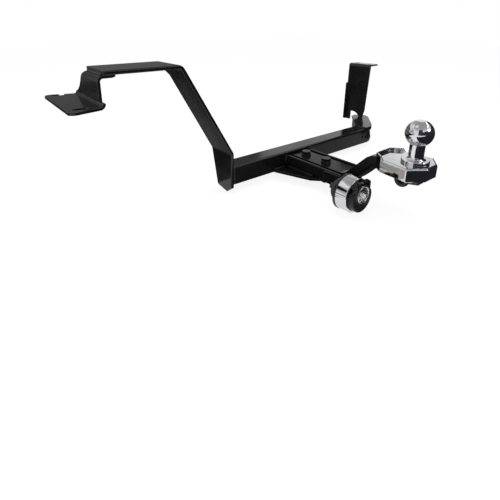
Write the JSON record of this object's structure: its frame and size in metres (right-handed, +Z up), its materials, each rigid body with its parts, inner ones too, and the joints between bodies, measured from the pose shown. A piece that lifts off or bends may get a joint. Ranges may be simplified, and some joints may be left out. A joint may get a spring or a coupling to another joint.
{
  "type": "trailer hitch",
  "caption": "Fixed trailer hitch with a folded black steel frame, a ball on a cranked mount under a chrome cover, and a lidded trailer socket.",
  "frame": {"origin": "centre of the tow ball", "axes": "+Z up along the ball's neck, +Y forward towards the vehicle, +X along the crossbar towards its bent end"},
  "size_m": [0.973, 0.477, 0.2917],
  "materials": {
    "black_paint": "gloss",
    "chrome": "polished",
    "zinc_steel": "satin",
    "black_plastic": "gloss",
    "black_rubber": "matte",
    "contact_brass": "satin"
  },
  "bodies": {
    "hitch_frame": {"crossbar_tube": "black_paint", "crossbar_left_end_cap": "black_paint", "crossbar_right_end_cap": "black_paint", "left_arm": "black_paint", "left_foot_bracket": "black_paint", "upright_foot_plate": "black_paint", "right_upright": "black_paint", "receiver_channel": "black_paint", "receiver_gusset": "black_paint", "ball_mount": "black_paint", "clamp_bolts": "black_paint", "clamp_washers": "black_paint", "clamp_nuts": "black_paint", "tow_ball": "chrome", "ball_washer": "zinc_steel", "ball_nut": "zinc_steel", "safety_chain_loops": "black_paint", "ball_mount_cover": "chrome", "socket_bracket": "black_paint", "socket_gasket": "black_rubber", "socket_sleeve": "chrome", "socket_housing": "black_plastic", "contact_insert": "black_plastic", "contact_pins": "contact_brass", "socket_screws": "zinc_steel", "socket_nuts": "zinc_steel", "cable_boot": "black_rubber", "lid_hinge_pin": "zinc_steel", "lid_spring": "zinc_steel"},
    "lid": {"socket_lid": "black_plastic", "lid_badge": "chrome", "lid_seal": "black_rubber"}
  },
  "joints": [
    {"name": "lid_hinge", "type": "hinge", "parent": "hitch_frame", "child": "lid", "pos_m": [-0.075, 0.0586, -0.1025], "axis": [-1, 0, 0], "range_deg": [0, 100], "stiffness_Nm_per_rad": 0.06, "springref_deg": -34.38}
  ]
}
